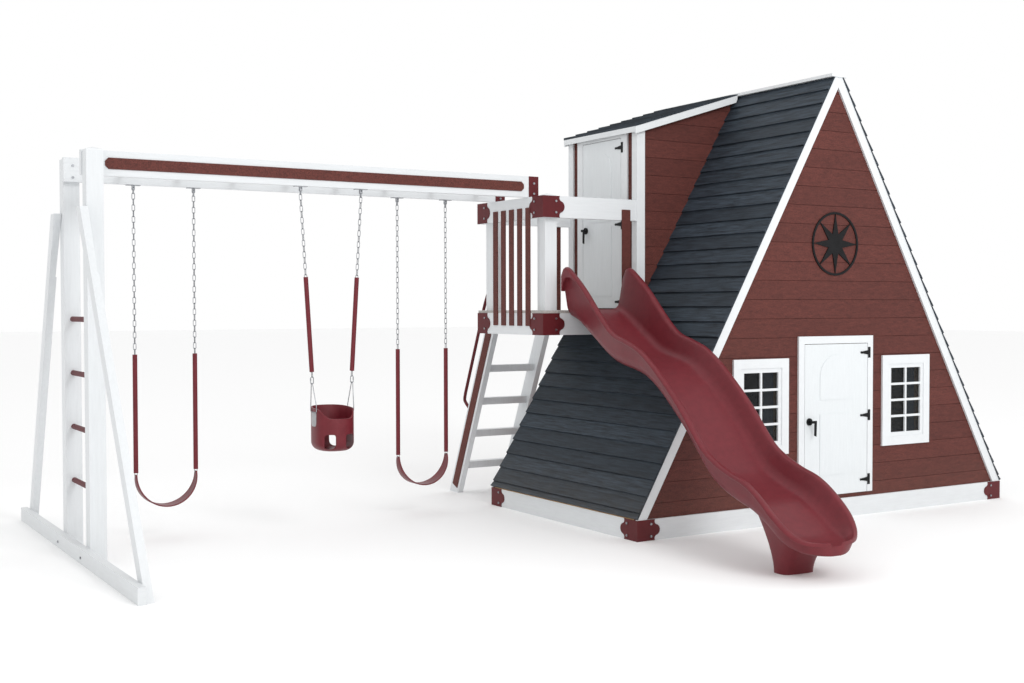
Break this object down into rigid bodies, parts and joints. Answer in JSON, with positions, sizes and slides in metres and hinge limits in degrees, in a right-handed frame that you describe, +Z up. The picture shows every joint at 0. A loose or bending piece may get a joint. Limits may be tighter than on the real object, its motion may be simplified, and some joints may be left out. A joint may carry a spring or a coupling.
{
  "type": "playhouse swing set",
  "caption": "A-frame playhouse with a dormer deck, wavy slide, ladder, belt swings and a bucket swing on a beam frame with a braced end.",
  "frame": {"origin": "middle of the underside of the house's front base timber, on the ground", "axes": "+X along the swing beams towards the house, -Y is the front with the lower door and the slide's foot, +Z up"},
  "size_m": [6.9826, 4.6979, 3.25],
  "materials": {
    "black_metal": "matt",
    "brown_plastic": "matt",
    "brown_siding": "wood grain, matt",
    "curtain_cloth": "pleated",
    "door_skin": "satin, faint grain",
    "grey_plastic": "matt",
    "grey_timber": "satin vinyl sleeve",
    "maroon_metal": "satin",
    "maroon_plastic": "satin",
    "pine": "sawn",
    "slate_roof": "wood grain, matt",
    "white_trim": "satin",
    "window_glass": "dark",
    "zinc_steel": "zinc plated"
  },
  "bodies": {
    "playset_frame": {"base_frame": "grey_timber", "beam_end_plates": "maroon_metal", "beam_inlay": "brown_plastic", "bolts": "zinc_steel", "brace_caps": "white_trim", "corner_brackets": "maroon_metal", "deck_balusters": "brown_plastic", "deck_boards": "pine", "deck_rails": "grey_timber", "door_casings": "white_trim", "door_hinge_plates": "black_metal", "dormer_roof_boards": "slate_roof", "dormer_sheathing": "pine", "dormer_siding": "brown_siding", "dormer_trims": "white_trim", "end_braces": "grey_timber", "end_foot_beam": "grey_timber", "end_rungs": "maroon_metal", "floor_boards": "pine", "floor_joists": "pine", "gable_ornament": "black_metal", "gable_siding": "brown_siding", "ladder_frame": "grey_timber", "ladder_handrail": "maroon_metal", "ladder_strip": "brown_plastic", "monkey_bars": "maroon_metal", "post_caps": "white_trim", "posts": "grey_timber", "rake_trims": "white_trim", "ridge_cap": "white_trim", "roof_boards": "slate_roof", "roof_frame": "pine", "roof_sheathing": "pine", "slide": "maroon_plastic", "swing_beams": "grey_timber", "swing_hangers": "zinc_steel", "wall_studs": "pine", "window_casings": "white_trim", "window_curtains": "curtain_cloth", "window_panes": "window_glass", "window_sashes": "white_trim"},
    "belt_swing_left": {"belt_swing_left_chains": "zinc_steel", "belt_swing_left_grips": "maroon_plastic", "belt_swing_left_seat": "maroon_plastic"},
    "belt_swing_right": {"belt_swing_right_chains": "zinc_steel", "belt_swing_right_grips": "maroon_plastic", "belt_swing_right_seat": "maroon_plastic"},
    "bucket_swing": {"bucket_swing_chains": "zinc_steel", "bucket_swing_grips": "maroon_plastic", "bucket_swing_pads": "grey_plastic", "bucket_swing_seat": "maroon_plastic"},
    "lower_door": {"lower_door_leaf": "door_skin", "lower_door_hardware": "black_metal"},
    "lower_door_lever": {"lower_door_lever": "black_metal"},
    "upper_door": {"upper_door_leaf": "door_skin", "upper_door_hardware": "black_metal"},
    "upper_door_lever": {"upper_door_lever": "black_metal"}
  },
  "joints": [
    {"name": "belt_swing_left_pivot", "type": "hinge", "parent": "playset_frame", "child": "belt_swing_left", "pos_m": [-4.443, 1.7225, 2.342], "axis": [1, 0, 0], "range_deg": [-60, 60]},
    {"name": "belt_swing_right_pivot", "type": "hinge", "parent": "playset_frame", "child": "belt_swing_right", "pos_m": [-2.509, 1.7225, 2.342], "axis": [1, 0, 0], "range_deg": [-60, 60]},
    {"name": "bucket_swing_pivot", "type": "hinge", "parent": "playset_frame", "child": "bucket_swing", "pos_m": [-3.4455, 1.2405, 2.342], "axis": [1, 0, 0], "range_deg": [-60, 60]},
    {"name": "lower_door_hinge", "type": "hinge", "parent": "playset_frame", "child": "lower_door", "pos_m": [0.3186, -0.0477, 0.172], "axis": [0, 0, 1], "range_deg": [0, 110]},
    {"name": "lower_lever_pivot", "type": "hinge", "parent": "lower_door", "child": "lower_door_lever", "pos_m": [-0.28, -0.0435, 0.721], "axis": [0, 1, 0], "range_deg": [0, 40], "stiffness_Nm_per_rad": 1},
    {"name": "upper_door_hinge", "type": "hinge", "parent": "playset_frame", "child": "upper_door", "pos_m": [-1.0492, 1.2034, 1.545], "axis": [0, 0, 1], "range_deg": [0, 95]},
    {"name": "upper_lever_pivot", "type": "hinge", "parent": "upper_door", "child": "upper_door_lever", "pos_m": [-1.045, 1.677, 2.165], "axis": [1, 0, 0], "range_deg": [0, 40], "stiffness_Nm_per_rad": 1}
  ]
}
